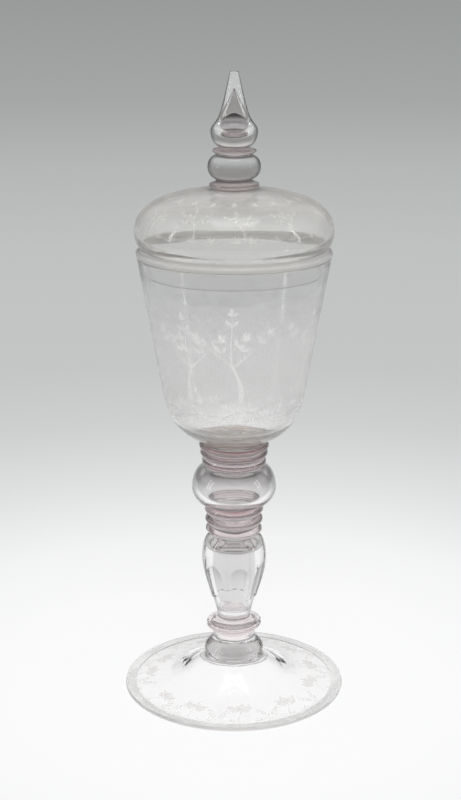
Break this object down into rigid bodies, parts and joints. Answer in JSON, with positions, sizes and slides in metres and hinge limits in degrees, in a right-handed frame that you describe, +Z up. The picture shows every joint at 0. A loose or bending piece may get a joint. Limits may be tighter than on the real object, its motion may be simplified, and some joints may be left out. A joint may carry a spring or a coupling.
{
  "type": "covered stem goblet",
  "caption": "Covered drinking goblet of blown clear glass on a hollow baluster stem, with an engraved bowl and a domed lift-off cover that ends in a pointed finial.",
  "frame": {"origin": "centre of the ring that the foot stands on, on the table", "axes": "+Z up along the axis of the stem, -Y towards the viewer of the picture, +X to the viewer's right"},
  "size_m": [0.1376, 0.1376, 0.3814],
  "materials": {
    "clear_glass": "clear polished glass, with matte wheel engraving on foot, bowl and cover",
    "rose_glass": "clear polished glass with a faint rose tint where it is thick"
  },
  "bodies": {
    "goblet": {"foot": "clear_glass", "foot_knop": "clear_glass", "foot_collar": "rose_glass", "lower_merese": "rose_glass", "baluster": "clear_glass", "lower_ring_1": "rose_glass", "lower_ring_2": "rose_glass", "lower_ring_3": "rose_glass", "stem_knop": "clear_glass", "upper_ring_1": "rose_glass", "upper_ring_2": "rose_glass", "upper_ring_3": "rose_glass", "bowl": "clear_glass"},
    "cover": {"cover_dome": "clear_glass", "cover_wafer": "rose_glass", "cover_merese": "rose_glass", "cover_knop": "clear_glass", "finial_merese": "rose_glass", "finial": "clear_glass"}
  },
  "joints": [
    {"name": "cover_lift", "type": "slide", "parent": "goblet", "child": "cover", "axis": [0, 0, 1], "range_m": [0, 0.08]}
  ]
}
